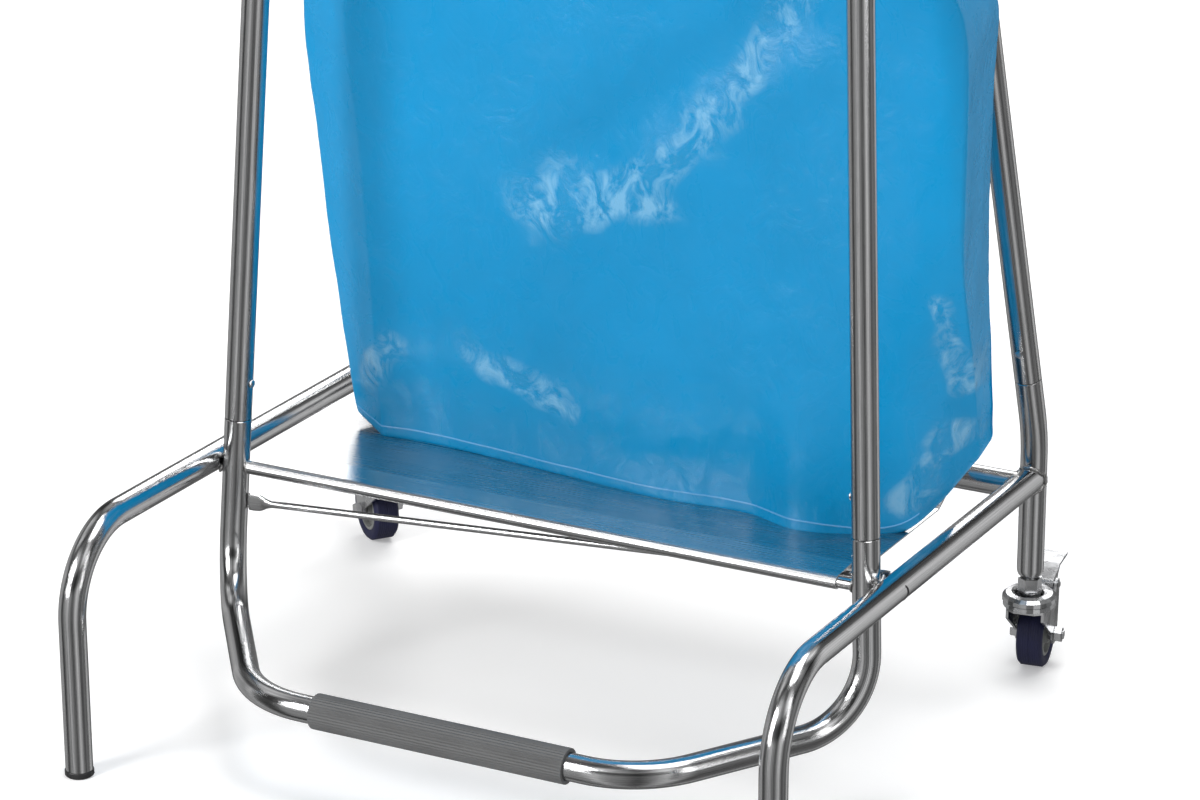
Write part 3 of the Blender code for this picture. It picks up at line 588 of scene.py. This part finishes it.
def catmull(knots, t):
    """Smooth curve through evenly indexed knots; t runs from 0 to len(knots) - 1."""
    knots = np.asarray(knots, float)
    index = np.clip(np.floor(t).astype(int), 0, len(knots) - 2)
    f = (t - index).reshape((-1,) + (1,) * (knots.ndim - 1))
    a = knots[np.clip(index - 1, 0, len(knots) - 1)]
    b, c = knots[index], knots[index + 1]
    d = knots[np.clip(index + 2, 0, len(knots) - 1)]
    return b + 0.5 * f * (c - a + f * (2 * a - 5 * b + 4 * c - d + f * (3 * (b - c) + d - a)))


def bag_outlines():
    """Outlines of the bag from the tray up: the same stations at each level, as (x, y, z)."""
    front, rear = front_line(1, TOP_Z).y, rear_line(1, TOP_Z).y

    def level(z, points, lifts=None):
        lifts = lifts or {}
        return [(x, y, z + lifts.get(k, 0.0)) for k, (x, y) in enumerate(points)]

    def box(z, left, right, low, high):
        """A plain box with the stations spread along it."""
        spread = [left + (right - left) * t for t in (0.09, 0.22, 0.38, 0.55, 0.70, 0.80, 0.90)]
        points = [(left, (low + high) / 2)] + [(x, low) for x in spread]
        points += [(right, low), (right, high)]
        points += [(right - 0.12, high), (left + 0.20, high), (left + 0.01, high)]
        return level(z, points)

    base = [(-0.284, 0.172), (-0.246, 0.151), (-0.178, 0.153), (-0.064, 0.141), (0.050, 0.128),
            (0.139, 0.132), (0.205, 0.115), (0.284, 0.157), (0.338, 0.200), (0.345, 0.213),
            (0.220, 0.214), (-0.100, 0.214), (-0.262, 0.203)]
    heel = [(-0.290, 0.168), (-0.246, 0.143), (-0.178, 0.146), (-0.064, 0.135), (0.050, 0.124),
            (0.139, 0.127), (0.207, 0.112), (0.289, 0.149), (0.341, 0.194), (0.347, 0.213),
            (0.224, 0.226), (-0.100, 0.226), (-0.272, 0.210)]
    low = [(-0.304, 0.160), (-0.248, 0.131), (-0.180, 0.133), (-0.060, 0.127), (0.052, 0.121),
           (0.142, 0.121), (0.212, 0.117), (0.292, 0.134), (0.343, 0.172), (0.345, 0.212),
           (0.226, 0.231), (-0.100, 0.234), (-0.286, 0.214)]
    waist = [(-0.315, 0.158), (-0.252, 0.128), (-0.180, 0.129), (-0.060, 0.125), (0.054, 0.121),
             (0.145, 0.122), (0.222, 0.120), (0.300, 0.124), (0.343, 0.136), (0.338, 0.208),
             (0.228, 0.222), (-0.100, 0.224), (-0.296, 0.207)]
    high = [(-0.325, 0.156), (-0.264, 0.127), (-0.184, 0.128), (-0.060, 0.125), (0.055, 0.123),
            (0.146, 0.124), (0.225, 0.124), (0.302, 0.126), (0.345, 0.129), (0.339, 0.205),
            (0.228, 0.212), (-0.100, 0.214), (-0.302, 0.200)]
    return [
        level(TRAY_TOP_Z, base, {0: 0.010, 8: 0.066, 9: 0.082, 10: 0.020, 12: 0.004}),
        level(TRAY_TOP_Z + 0.022, heel, {0: 0.008, 8: 0.062, 9: 0.074, 10: 0.016}),
        level(TRAY_TOP_Z + 0.160, low),
        level(0.480, waist),
        level(0.620, high),
        box(0.700, -0.314, 0.342, 0.121, 0.203),
        box(0.771, -0.290, 0.308, 0.096, 0.183),
        box(0.831, -0.266, 0.266, 0.064, 0.163),
        box(TOP_Z, -0.261, 0.261, front + 0.0185, rear - 0.0185),
        box(RING_Z - 0.020, -0.268, 0.268, front + 0.0100, rear - 0.0100),
        box(RING_Z, -RING_HALF_X + MOUTH_IN, RING_HALF_X - MOUTH_IN, front + MOUTH_IN, rear - MOUTH_IN),
    ]




def fold_runs(rows, count):
    """Samples each row's outline: smooth between folds, turning sharply at each fold."""
    stations = rows.shape[1]
    mean = rows.mean(axis=0)
    ends = [*FOLDS[1:], FOLDS[0] + stations]
    runs = []
    for first, last in zip(FOLDS, ends):
        index = [k % stations for k in range(first, last + 1)]
        length = np.linalg.norm(np.diff(mean[index], axis=0), axis=1).sum()
        runs.append((index, length))
    total = sum(length for _, length in runs)
    made = []
    for index, length in runs:
        steps = max(4, round(count * length / total))
        t = np.arange(steps) / steps * (len(index) - 1)
        made.append(np.stack([catmull(row[index], t) for row in rows]))
    outline = np.concatenate(made, axis=1)
    for _ in range(2):
        outline = (np.roll(outline, 1, axis=1) + 2 * outline + np.roll(outline, -1, axis=1)) / 4
    return outline


def film_offset(x, y, z, around):
    """Outward offset of the film in metres: soft billows, crisp crinkles and pleats at the neck."""
    billow = 0.0035 * noise.noise(Vector((x * 5.0, y * 4.0, z * 4.2)))
    folds = 0.0
    for size, depth, stretch in CREASES:
        folds -= depth * abs(noise.noise(Vector((x / size + 7.1, y / size, z * stretch / size + 3.3))))
    neck = max(0.0, 1.0 - abs(z - 0.865) / 0.13)
    sway = 2.0 * noise.noise(Vector((x * 20, y * 20, 1.0)))
    pleats = -0.0032 * neck * (0.5 + 0.5 * math.sin(around * 190.0 + sway))
    return billow * (1.0 - neck) + folds + pleats


def round_corners(row, radius):
    """Pulls the corners of one outline in to arcs of the given radius."""
    low, high = row[:, :2].min(axis=0), row[:, :2].max(axis=0)
    centre, half = (low + high) / 2, (high - low) / 2
    offset = row[:, :2] - centre
    beyond = np.maximum(np.abs(offset) - (half - radius), 0.0)
    distance = np.linalg.norm(beyond, axis=1)
    pull = np.where(distance > radius, radius / np.maximum(distance, 1e-9), 1.0)[:, None]
    inner = np.minimum(np.abs(offset), half - radius)
    row[:, :2] = centre + np.sign(offset) * (inner + beyond * pull)


def crease_and_glare_strength(x, z):
    """How hard the film is crinkled at a place on its front, which also sets the painted glare: 1 in the
    glare patches, less elsewhere.
    """
    here = Vector((x, z))
    most = 0.0
    for start, end, width in GLARE_PATCHES:
        start, along = Vector(start), Vector(end) - Vector(start)
        t = min(1.0, max(0.0, (here - start).dot(along) / along.dot(along)))
        ragged = width * (1.0 + 0.7 * noise.noise(Vector((x * 28.0, 4.0, z * 28.0))))
        distance = (here - start - along * t).length
        most = max(most, min(1.0, max(0.0, 1.6 - distance / ragged)))
    spread = 0.5 + 0.5 * noise.noise(Vector((x * 7.0, 9.0, z * 7.0)))
    return max(most, 0.34 * spread)


def diagonal_dip(x, z):
    """A long shallow fold across the front, from the middle up to the right."""
    along = Vector((0.26, 0.205)).normalized()
    start = Vector((-0.075, 0.485))
    here = Vector((x, z)) - start
    distance = here.x * along.y - here.y * along.x
    reach = here.dot(along)
    fade = max(0.0, min(1.0, (reach + 0.03) / 0.06)) * max(0.0, min(1.0, (0.42 - reach) / 0.08))
    dip = -0.006 * math.exp(-(distance / 0.030) ** 2)
    return fade * (dip + 0.004 * math.exp(-((distance - 0.055) / 0.035) ** 2))


def build_bag():
    """Film bag: a lofted thin shell standing on the tray, its mouth turned out over the ring."""
    outlines = np.array(bag_outlines())
    heights = outlines[:, 3, 2]
    levels = np.linspace(heights[0], heights[-1], UP_ROWS)
    body = fold_runs(catmull(outlines, np.interp(levels, heights, np.arange(len(heights)))), AROUND_STEPS)
    for row in body:
        rounding = min(1.0, max(0.0, (row[:, 2].mean() - NECK_LOW_Z) / (TOP_Z - NECK_LOW_Z)))
        round_corners(row, rounding * (RING_CORNER - MOUTH_IN))
    around_count = body.shape[1]
    tangent_around = np.roll(body, -1, axis=1) - np.roll(body, 1, axis=1)
    tangent_up = np.gradient(body, axis=0)
    normal = np.cross(tangent_around, tangent_up)
    normal /= np.maximum(np.linalg.norm(normal, axis=2, keepdims=True), 1e-9)
    if normal[UP_ROWS // 2, around_count // 3, 1] > 0:
        normal = -normal
    for row in range(UP_ROWS):
        calm_low = min(1.0, row / 6.0)
        calm_high = min(1.0, (UP_ROWS - 1 - row) / 14.0)
        for k in range(around_count):
            x, y, z = body[row, k]
            offset = film_offset(x, y, z, k / around_count)
            if normal[row, k, 1] < -0.5:
                offset += diagonal_dip(x, z)
            body[row, k] += normal[row, k] * offset * calm_low * calm_high
    rows = bag_floor(body[0]) + list(body) + bag_cuff(body[-1])
    vertices = np.concatenate(rows)
    faces = ring_faces(len(rows), around_count, closed=False)
    faces.append(tuple(reversed(range(around_count))))
    bag = new_piece("film_bag", vertices, faces, FILM, ("bag",), sharp=75.0)
    # The mask sets the coat's gloss and crinkles, and where a pale glare is painted into the film's colour.
    stored = bag.data.attributes.new("crackle_and_glare", "FLOAT", "POINT")
    stored.data.foreach_set("value", [crease_and_glare_strength(x, z) for x, _, z in vertices])
    shell = bag.modifiers.new("film", "SOLIDIFY")
    shell.thickness = FILM_THICKNESS
    shell.offset = -1.0
    shell.use_even_offset = False
    build_hem(rows[11])


def bag_floor(edge):
    """Rings from the middle of the bag's floor out to its lower edge."""
    spine = np.empty_like(edge)
    spine[:, 0] = np.clip(edge[:, 0], -0.20, 0.20)
    spine[:, 1] = BAG_MIDDLE_Y
    spine[:, 2] = TRAY_TOP_Z + 0.0010
    return [spine + (edge - spine) * t for t in (0.03, 0.2, 0.4, 0.6, 0.8, 0.92)]


def bag_cuff(edge):
    """The film turned out over the ring, and down outside it."""
    front, rear = front_line(1, TOP_Z).y, rear_line(1, TOP_Z).y
    centre = np.array([0.0, (front + rear) / 2])
    half = np.array([RING_HALF_X, (rear - front) / 2]) - RING_CORNER
    offset = edge[:, :2] - centre
    outward = np.sign(offset) * np.maximum(np.abs(offset) - half, 0.0)
    outward /= np.maximum(np.linalg.norm(outward, axis=1, keepdims=True), 1e-6)
    over = []
    for degrees in range(165, -15, -15):
        angle = math.radians(degrees)
        over.append((MOUTH_IN * (1 + math.cos(angle)), MOUTH_IN * math.sin(angle)))
    drop = [(2 * MOUTH_IN + 0.0012 * t, -CUFF_DROP * t) for t in np.linspace(0.12, 1.0, 10)]
    made = []
    for step, (out, rise) in enumerate(over + drop):
        row = edge.copy()
        row[:, :2] += outward * out
        row[:, 2] += rise
        if step > len(over):
            depth = (step - len(over)) / len(drop)
            for k in range(len(row)):
                ripple = 0.0008 * depth * math.sin(k * 0.55 + 1.5 * math.sin(k * 0.09))
                row[k, :2] += outward[k] * ripple
        made.append(row)
    return made


def build_hem(line):
    """Pale heat-sealed line just above the bag's lower edge."""
    front = [Vector(p) for p in line if p[1] < BAG_MIDDLE_Y and p[0] < 0.30]
    front.sort(key=lambda p: p.x)
    vertices, facets = [], 6
    for index, point in enumerate(front):
        before, after = front[max(index - 1, 0)], front[min(index + 1, len(front) - 1)]
        along = (after - before).normalized()
        out = along.cross(Vector((0, 0, 1))).normalized()
        for k in range(facets):
            angle = math.tau * k / facets
            rise = Vector((0, 0, 0.0008 * math.sin(angle)))
            vertices.append(point + out * (0.0006 * math.cos(angle) + 0.0002) + rise)
    faces = ring_faces(len(front), facets, closed=False)
    last = (len(front) - 1) * facets
    faces += [tuple(reversed(range(facets))), tuple(range(last, last + facets))]
    new_piece("bag_hem_seal", vertices, faces, FILM_SEAM)


# ---- tyres --------------------------------------------------------------------------------------
def build_tyre(name, heading):
    """Soft tread with fine moulded lines round it and a part line in the middle."""
    radius, half, bead, trail = 0.0325, 0.0125, 0.0222, 0.032
    profile = [(bead, -half + 0.0015), (bead + 0.002, -half + 0.0002), (bead + 0.004, -half),
               (radius - 0.0045, -half), (radius - 0.0020, -half + 0.0006), (radius - 0.0006, -half + 0.0022)]
    lines = 9
    for index in range(lines):
        x = -half + 0.0035 + (2 * half - 0.007) * index / (lines - 1)
        depth = 0.00035 if index != lines // 2 else 0.0006
        profile += [(radius, x - 0.0007), (radius - depth, x), (radius, x + 0.0007)]
    profile += [(r, -x) for r, x in profile[5::-1]]
    facets = 72
    swivel = Vector(((-1 if name == "left" else 1) * RAIL_X, POST_Y, 0))
    turn = Matrix.Rotation(math.radians(heading), 3, "Z")
    axle = swivel + turn @ Vector((0, trail, radius))
    vertices = []
    for r, x in profile:
        for k in range(facets):
            angle = math.tau * (k + 0.5) / facets
            vertices.append(axle + turn @ Vector((x, r * math.cos(angle), r * math.sin(angle))))
    faces = ring_faces(len(profile), facets, closed=True)
    new_piece(f"{name}_tread", vertices, faces, TREAD, (f"{name}_tyre",), f"{name}_wheel", sharp=50.0)


# ---- stage --------------------------------------------------------------------------------------
def build_stage():
    """A plain pale floor, left out of mirror reflections so that the tubes show the studio's cards."""
    size = 14.0
    mesh = bpy.data.meshes.new("floor")
    corners = [(-size, -size, 0), (size, -size, 0), (size, size, 0), (-size, size, 0)]
    mesh.from_pydata(corners, [], [(0, 1, 2, 3)])
    look = Nodes("pale_floor", (0.86, 0.86, 0.86), 0.0, 0.75)
    cloud = look.noise(look.place((3.0, 3.0, 3.0)), 1.0, 3.0)
    look.feed(look.cloudy(cloud, (0.855, 0.855, 0.855), (0.875, 0.875, 0.875)), "Base Color")
    look.shader.inputs["Emission Color"].default_value = (1.0, 1.0, 1.0, 1.0)
    look.shader.inputs["Emission Strength"].default_value = 0.28
    mesh.materials.append(look.material)
    floor = bpy.data.objects.new("floor", mesh)
    floor.location = (0.0, 0.0, -0.0002)
    floor.visible_glossy = False
    bpy.context.scene.collection.objects.link(floor)


def area_light(name, place, target, size, power, tint=(1, 1, 1)):
    data = bpy.data.lights.new(name, "AREA")
    data.shape = "RECTANGLE"
    data.size, data.size_y = size
    data.energy = power
    data.color = tint
    light = bpy.data.objects.new(name, data)
    light.location = place
    aim = Vector(target) - Vector(place)
    light.rotation_euler = aim.to_track_quat("-Z", "Y").to_euler()
    light.visible_camera = False
    bpy.context.scene.collection.objects.link(light)


def set_ramp(node, stops):
    """Gives a colour ramp its grey stops."""
    elements = node.color_ramp.elements
    while len(elements) < len(stops):
        elements.new(0.5)
    for element, (place, grey) in zip(elements, stops):
        element.position = place
        element.color = (grey, grey, grey, 1.0)


def build_lights():
    bpy.context.scene.view_settings.view_transform = "Standard"
    target = PLACE @ Vector((0, 0, 0.4))
    area_light("key_softbox", target + Vector((-1.6, -2.9, 1.9)), target, (1.3, 1.3), 85)
    area_light("low_card", target + Vector((-1.5, -2.8, 0.6)), target, (1.2, 0.6), 16)
    area_light("top_softbox", target + Vector((0.6, 0.4, 3.0)), target, (2.4, 1.6), 65)
    area_light("right_strip", target + Vector((2.8, -0.9, 0.9)), target, (0.4, 2.0), 9)
    area_light("rear_strip", target + Vector((-1.0, 3.0, 1.4)), target, (2.2, 1.0), 35)
    world = bpy.data.worlds.new("studio")
    bpy.context.scene.world = world
    world.use_nodes = True
    tree = world.node_tree
    background = tree.nodes["Background"]
    coordinates = tree.nodes.new("ShaderNodeTexCoord")
    split = tree.nodes.new("ShaderNodeSeparateXYZ")
    tree.links.new(coordinates.outputs["Generated"], split.inputs[0])
    turn = tree.nodes.new("ShaderNodeMath")
    turn.operation = "ARCTAN2"
    tree.links.new(split.outputs["Y"], turn.inputs[0])
    tree.links.new(split.outputs["X"], turn.inputs[1])
    ramp = tree.nodes.new("ShaderNodeValToRGB")
    scaled = tree.nodes.new("ShaderNodeMapRange")
    scaled.inputs["From Min"].default_value = -math.pi
    scaled.inputs["From Max"].default_value = math.pi
    tree.links.new(turn.outputs[0], scaled.inputs["Value"])
    tree.links.new(scaled.outputs["Result"], ramp.inputs[0])
    # Walls of a studio seen round the horizon: pale cards with darker gaps between them.
    bands = ((0.00, 0.40), (0.03, 0.75), (0.06, 0.10), (0.11, 0.06), (0.14, 0.45), (0.19, 0.36), (0.215, 1.0),
             (0.245, 0.40), (0.29, 0.30), (0.33, 0.06), (0.37, 0.38), (0.41, 1.0), (0.45, 0.42), (0.49, 0.08),
             (0.56, 0.34), (0.61, 0.06), (0.655, 1.0), (0.70, 0.42), (0.75, 0.08), (0.82, 0.36), (0.88, 0.06),
             (0.93, 0.60), (1.00, 0.40))
    set_ramp(ramp, bands)
    # From the floor up to straight overhead: the cards end in a dark gap under a ceiling softbox.
    levels = ((0.00, 0.60), (0.50, 0.90), (0.60, 1.00), (0.66, 0.22), (0.76, 0.20),
              (0.82, 1.30), (0.90, 1.40), (0.95, 0.35), (1.00, 0.30))
    heights = tree.nodes.new("ShaderNodeValToRGB")
    set_ramp(heights, levels)
    height = tree.nodes.new("ShaderNodeMapRange")
    height.inputs["From Min"].default_value = -1.0
    tree.links.new(split.outputs["Z"], height.inputs["Value"])
    tree.links.new(height.outputs["Result"], heights.inputs[0])
    studio = tree.nodes.new("ShaderNodeMix")
    studio.data_type = "RGBA"
    studio.blend_type = "MULTIPLY"
    studio.inputs[0].default_value = 1.0
    tree.links.new(ramp.outputs[0], studio.inputs[6])
    tree.links.new(heights.outputs[0], studio.inputs[7])
    seen = tree.nodes.new("ShaderNodeLightPath")
    mix = tree.nodes.new("ShaderNodeMix")
    mix.data_type = "RGBA"
    tree.links.new(seen.outputs["Is Camera Ray"], mix.inputs[0])
    tree.links.new(studio.outputs[2], mix.inputs[6])
    mix.inputs[7].default_value = (0.97, 0.97, 0.97, 1.0)
    tree.links.new(mix.outputs[2], background.inputs["Color"])
    background.inputs["Strength"].default_value = 1.0


def build_camera():
    data = bpy.data.cameras.new("camera")
    data.sensor_width = 36.0
    data.lens = 141.05
    data.clip_end = 60.0
    camera = bpy.data.objects.new("camera", data)
    turn = Matrix.Rotation(math.radians(26.763), 4, "Z")
    pitch = Matrix.Rotation(math.radians(90.0 - 21.566), 4, "X")
    roll = Matrix.Rotation(math.radians(-0.18), 4, "Z")
    camera.matrix_world = PLACE @ Matrix.Translation((1.7893, -3.4309, 1.8633)) @ turn @ pitch @ roll
    bpy.context.scene.collection.objects.link(camera)
    bpy.context.scene.camera = camera


# ---- finishes of the nodes that stay ------------------------------------------------------------
def finish_nodes():
    looks = {"foot_cap": BLACK, "grip": GRIP_RUBBER, "tray": STAINLESS, "ring_post": CHROME,
             "bag_ring": CHROME, "bag_band": BAND_RUBBER, "wheel_hub": HUB}
    for name, node in nodes.items():
        if node.hide_render:
            continue
        found = [look for key, look in looks.items() if key in name]
        material = found[0] if found else ZINC
        for index in range(len(node.material_slots)):
            node.material_slots[index].material = material


build_side_rails()
build_foot_loop()
build_rear_posts()
build_cross_members()
build_upper_frames()
build_pressed_marks()
build_bag()
build_tyre("left", 50.0)
build_tyre("right", 8.0)
finish_nodes()
build_stage()
build_lights()
build_camera()
